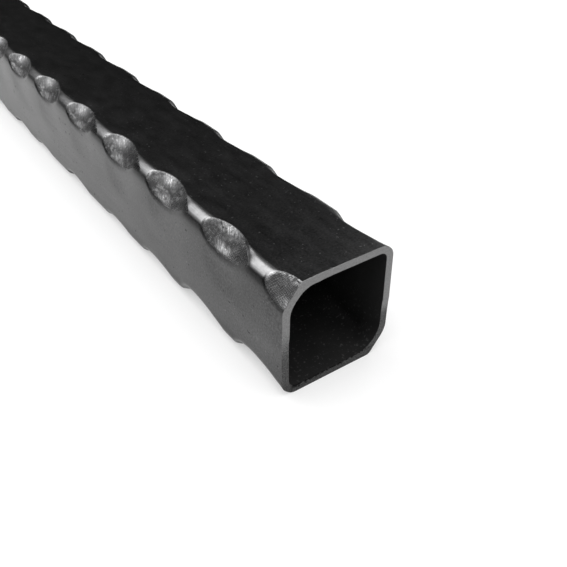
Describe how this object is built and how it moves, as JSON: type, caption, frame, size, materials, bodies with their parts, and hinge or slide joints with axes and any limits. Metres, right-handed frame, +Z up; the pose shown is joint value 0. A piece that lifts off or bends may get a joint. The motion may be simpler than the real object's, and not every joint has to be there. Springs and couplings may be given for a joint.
{
  "type": "hammered square tube",
  "caption": "Straight length of square steel tube, its four long corners hammered into a wavy row of flat marks, cut square at both ends.",
  "frame": {"origin": "centre of the tube's underside, half way along its length, on the floor it lies on", "axes": "+Y along the tube, the sawn end seen in the picture at -Y; +Z up; +X across"},
  "size_m": [0.04, 0.5, 0.04],
  "materials": {
    "steel": "bare dark mill steel, satin, brighter where the corners are hammered"
  },
  "bodies": {
    "root": {"square_tube": "steel"}
  },
  "joints": []
}
